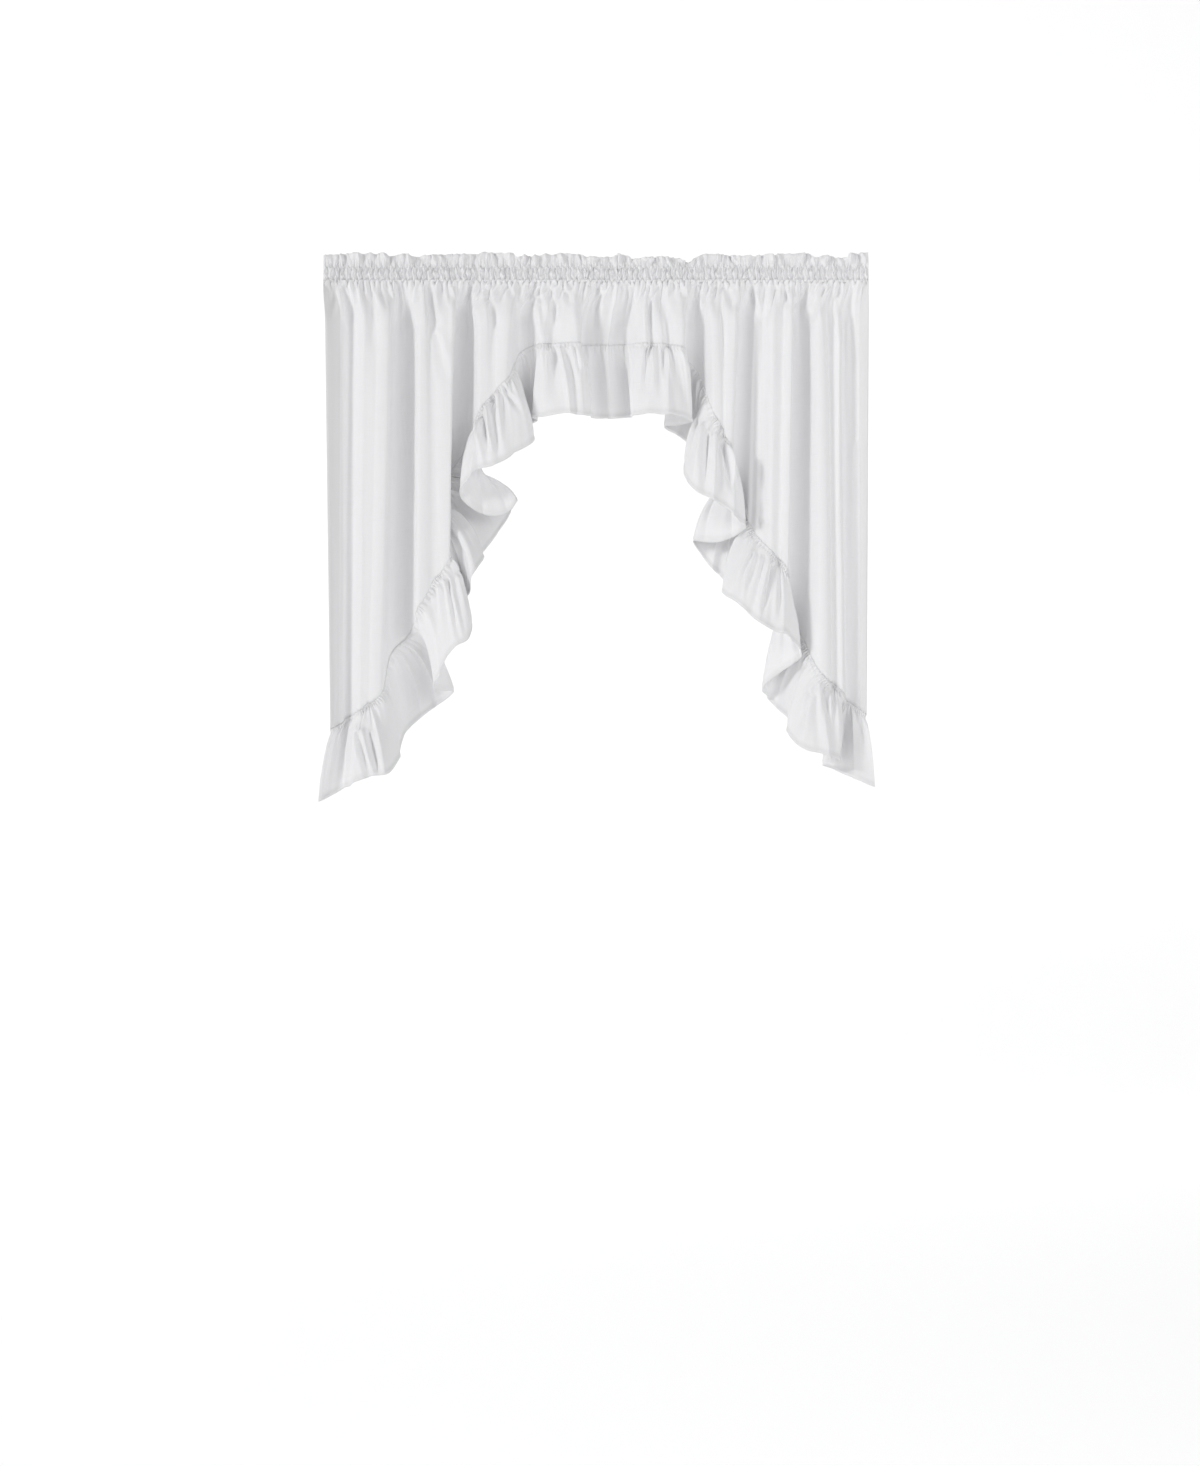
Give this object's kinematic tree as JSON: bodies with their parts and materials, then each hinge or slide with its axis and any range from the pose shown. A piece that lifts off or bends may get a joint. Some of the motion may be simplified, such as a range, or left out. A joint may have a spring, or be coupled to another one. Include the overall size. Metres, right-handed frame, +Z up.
{
  "type": "ruffled window swag pair",
  "caption": "Pair of white ruffled window swags, shirred on a rod pocket with a frilled heading and cut away in a swept arch edged with a gathered ruffle.",
  "frame": {"origin": "middle of the pair's top edge, over the line of the rod pockets", "axes": "+Z up, +X to the right of someone facing the window, +Y towards the window"},
  "size_m": [0.9856, 0.0881, 0.9742],
  "materials": {
    "white_cotton": "matte"
  },
  "bodies": {
    "root": {"left_heading": "white_cotton", "left_panel": "white_cotton", "left_ruffle": "white_cotton", "right_heading": "white_cotton", "right_panel": "white_cotton", "right_ruffle": "white_cotton"}
  },
  "joints": []
}
